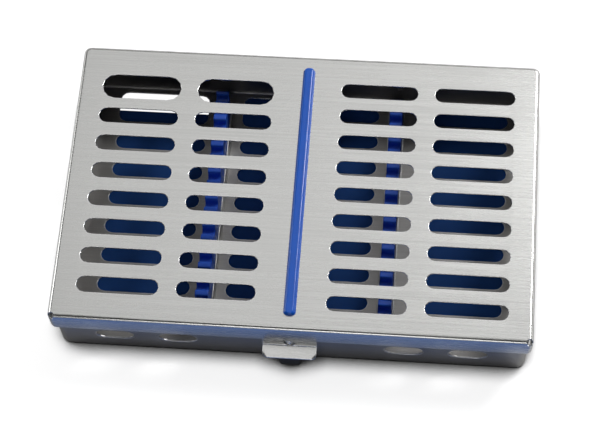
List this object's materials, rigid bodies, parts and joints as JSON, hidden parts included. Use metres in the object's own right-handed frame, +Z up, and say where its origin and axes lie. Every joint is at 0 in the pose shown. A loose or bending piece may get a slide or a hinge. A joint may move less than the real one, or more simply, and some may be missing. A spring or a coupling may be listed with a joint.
{
  "type": "dental instrument cassette",
  "caption": "Closed steel cassette for dental instruments: slotted lid hinged on a slotted tray, with notched silicone rails, a silicone hold-down strip and a push-button latch",
  "frame": {"origin": "middle of the flat underside of the tray, on the table, halfway along and across the tray's walls", "axes": "+X along the long side, to the right as seen from the latch; +Y from the latch to the hinges; +Z up"},
  "size_m": [0.205, 0.1406, 0.0356],
  "materials": {
    "lid_steel": "brushed along the long side",
    "tray_steel": "satin, drawn",
    "strip_silicone": "blue silicone, satin",
    "rail_silicone": "blue silicone, satin",
    "channel_steel": "satin",
    "hinge_steel": "satin",
    "fastener_steel": "turned and tumbled",
    "button_plastic": "black, heat-resistant plastic",
    "spring_steel": "spring temper"
  },
  "bodies": {
    "tray": {"tray": "tray_steel", "rail_left": "rail_silicone", "rail_right": "rail_silicone", "rail_channel_left": "channel_steel", "rail_channel_right": "channel_steel", "rail_rivets_left": "fastener_steel", "rail_rivets_right": "fastener_steel", "hinge_leaf_left": "hinge_steel", "hinge_leaf_right": "hinge_steel", "hinge_pin_left": "fastener_steel", "hinge_pin_right": "fastener_steel", "hinge_rivets_left": "fastener_steel", "hinge_rivets_right": "fastener_steel", "latch_guide": "channel_steel", "latch_spring": "spring_steel"},
    "lid": {"lid": "lid_steel", "lid_strip": "strip_silicone"},
    "latch": {"latch_button": "button_plastic", "latch_nose": "fastener_steel"}
  },
  "joints": [
    {"name": "lid_hinge", "type": "hinge", "parent": "tray", "child": "lid", "pos_m": [0, 0.06715, 0.0202], "axis": [-1, 0, 0], "range_deg": [0, 180]},
    {"name": "latch_press", "type": "slide", "parent": "tray", "child": "latch", "axis": [0, 1, 0], "range_m": [0, 0.0012], "stiffness_N_per_m": 400, "springref_m": -0.001, "deforming": ["latch_spring"]}
  ]
}
